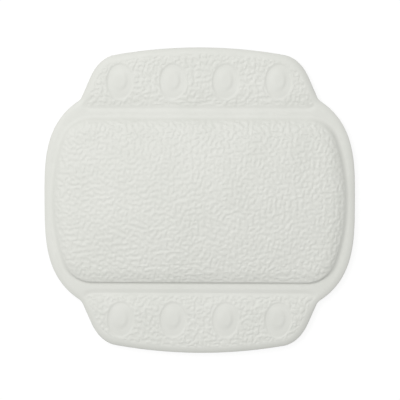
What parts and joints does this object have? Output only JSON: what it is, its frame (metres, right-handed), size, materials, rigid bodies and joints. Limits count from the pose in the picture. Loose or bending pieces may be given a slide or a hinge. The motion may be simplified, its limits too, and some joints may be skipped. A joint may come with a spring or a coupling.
{
  "type": "bath pillow",
  "caption": "White rubber bath pillow: a foam-filled textured pad on a flat rim, with folding flaps above and below that hold suction cups.",
  "frame": {"origin": "middle of the pillow in the plane of the suction cups' rims, which it rests on", "axes": "+Z out of the front that the head rests on, +Y towards the upper flap, +X to the right seen from the front"},
  "size_m": [0.33, 0.3258, 0.0266],
  "materials": {
    "cover_rubber": "satin",
    "back_rubber": "matte",
    "foam": "matte",
    "cup_rubber": "gloss"
  },
  "bodies": {
    "pillow": {"pad_cover": "cover_rubber", "foam_core": "foam", "back_sheet": "back_rubber", "upper_fold_web": "cover_rubber", "lower_fold_web": "cover_rubber"},
    "upper_flap": {"upper_flap_cover": "cover_rubber", "upper_flap_backing": "back_rubber"},
    "lower_flap": {"lower_flap_cover": "cover_rubber", "lower_flap_backing": "back_rubber"},
    "cup_upper_1": {"suction_cup_upper_1": "cup_rubber"},
    "cup_upper_2": {"suction_cup_upper_2": "cup_rubber"},
    "cup_upper_3": {"suction_cup_upper_3": "cup_rubber"},
    "cup_upper_4": {"suction_cup_upper_4": "cup_rubber"},
    "cup_lower_1": {"suction_cup_lower_1": "cup_rubber"},
    "cup_lower_2": {"suction_cup_lower_2": "cup_rubber"},
    "cup_lower_3": {"suction_cup_lower_3": "cup_rubber"},
    "cup_lower_4": {"suction_cup_lower_4": "cup_rubber"}
  },
  "joints": [
    {"name": "upper_fold", "type": "hinge", "parent": "pillow", "child": "upper_flap", "pos_m": [0, 0.0935, 0.012], "axis": [1, 0, 0], "range_deg": [-80, 45], "stiffness_Nm_per_rad": 0.5, "deforming": ["upper_fold_web"]},
    {"name": "lower_fold", "type": "hinge", "parent": "pillow", "child": "lower_flap", "pos_m": [0, -0.0935, 0.012], "axis": [-1, 0, 0], "range_deg": [-80, 45], "stiffness_Nm_per_rad": 0.5, "deforming": ["lower_fold_web"]},
    {"name": "cup_upper_1_rock", "type": "hinge", "parent": "upper_flap", "child": "cup_upper_1", "pos_m": [-0.08396, 0.127, 0.011], "axis": [1, 0, 0], "range_deg": [-6, 6], "stiffness_Nm_per_rad": 0.12},
    {"name": "cup_upper_2_rock", "type": "hinge", "parent": "upper_flap", "child": "cup_upper_2", "pos_m": [-0.02799, 0.127, 0.011], "axis": [1, 0, 0], "range_deg": [-6, 6], "stiffness_Nm_per_rad": 0.12},
    {"name": "cup_upper_3_rock", "type": "hinge", "parent": "upper_flap", "child": "cup_upper_3", "pos_m": [0.02799, 0.127, 0.011], "axis": [1, 0, 0], "range_deg": [-6, 6], "stiffness_Nm_per_rad": 0.12},
    {"name": "cup_upper_4_rock", "type": "hinge", "parent": "upper_flap", "child": "cup_upper_4", "pos_m": [0.08396, 0.127, 0.011], "axis": [1, 0, 0], "range_deg": [-6, 6], "stiffness_Nm_per_rad": 0.12},
    {"name": "cup_lower_1_rock", "type": "hinge", "parent": "lower_flap", "child": "cup_lower_1", "pos_m": [-0.08396, -0.127, 0.011], "axis": [-1, 0, 0], "range_deg": [-6, 6], "stiffness_Nm_per_rad": 0.12},
    {"name": "cup_lower_2_rock", "type": "hinge", "parent": "lower_flap", "child": "cup_lower_2", "pos_m": [-0.02799, -0.127, 0.011], "axis": [-1, 0, 0], "range_deg": [-6, 6], "stiffness_Nm_per_rad": 0.12},
    {"name": "cup_lower_3_rock", "type": "hinge", "parent": "lower_flap", "child": "cup_lower_3", "pos_m": [0.02799, -0.127, 0.011], "axis": [-1, 0, 0], "range_deg": [-6, 6], "stiffness_Nm_per_rad": 0.12},
    {"name": "cup_lower_4_rock", "type": "hinge", "parent": "lower_flap", "child": "cup_lower_4", "pos_m": [0.08396, -0.127, 0.011], "axis": [-1, 0, 0], "range_deg": [-6, 6], "stiffness_Nm_per_rad": 0.12}
  ]
}
